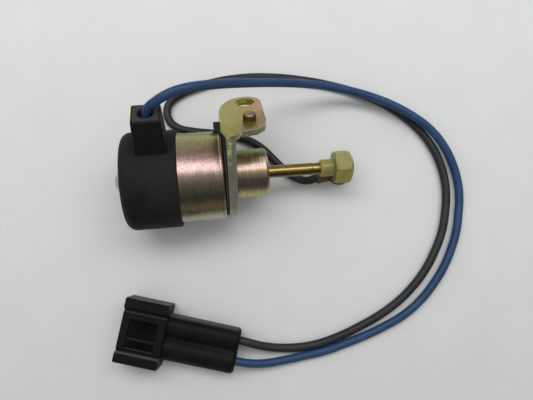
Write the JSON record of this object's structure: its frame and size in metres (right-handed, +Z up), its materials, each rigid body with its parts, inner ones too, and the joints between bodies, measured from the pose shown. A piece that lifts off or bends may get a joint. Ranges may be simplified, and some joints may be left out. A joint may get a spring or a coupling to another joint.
{
  "type": "idle_stop_solenoid",
  "caption": "Idle stop solenoid: plated can with a rubber boot, flange with a bent ear, push rod with a nylon hexagon tip, and leads to a plug and a ring terminal.",
  "frame": {"origin": "middle of the underside of the bounding box, on the surface that the part lies on", "axes": "+X along the push rod towards the nylon tip, level with the surface; +Y from the connector's side to the ear's side; +Z up"},
  "size_m": [0.1206, 0.1009, 0.0421],
  "materials": {
    "rubber": "matt moulded rubber",
    "chromate": "yellow chromate plating with a pink and green sheen",
    "steel": "plain turned steel",
    "brass": "drawn and turned brass",
    "nylon": "yellow-green translucent nylon",
    "copper": "enamelled copper wire",
    "card": "dark fibre sheet",
    "pad": "dark brown moulded pad",
    "tape": "woven insulating tape",
    "bobbin": "moulded natural plastic",
    "felt": "pressed felt",
    "blue_pvc": "extruded flexible plastic",
    "black_pvc": "extruded flexible plastic",
    "connector": "moulded black plastic"
  },
  "bodies": {
    "solenoid": {"black_lead": "black_pvc", "blue_lead": "blue_pvc", "bracket": "chromate", "case_can": "chromate", "coil_bobbin": "bobbin", "coil_tail": "copper", "coil_winding": "copper", "coil_wrap": "tape", "connector_housing": "connector", "front_collar": "chromate", "front_plate": "steel", "gasket": "card", "guide_tube": "brass", "lead_crimp": "brass", "locating_pin": "steel", "rear_boot": "rubber", "rear_bumper": "felt", "rear_stop": "steel", "return_spring": "steel", "ring_terminal": "brass", "rod_bush": "brass", "rod_seal": "rubber", "shim_washer": "brass", "terminal_a": "brass", "terminal_b": "brass", "wire_seal_a": "rubber", "wire_seal_b": "rubber"},
    "plunger_group": {"plunger": "steel", "push_rod": "brass"},
    "adjuster": {"adjuster_tip": "nylon", "tip_pad": "pad"}
  },
  "joints": [
    {"name": "plunger_slide", "type": "slide", "parent": "solenoid", "child": "plunger_group", "axis": [0.9951, 0, -0.0984], "range_m": [0, 0.006], "stiffness_N_per_m": 300, "springref_m": -0.004, "deforming": ["return_spring"]},
    {"name": "adjuster_turn", "type": "hinge", "parent": "plunger_group", "child": "adjuster", "pos_m": [0.0338, -0.00447, 0.01026], "axis": [0.9951, 0, -0.0984], "continuous": true}
  ]
}
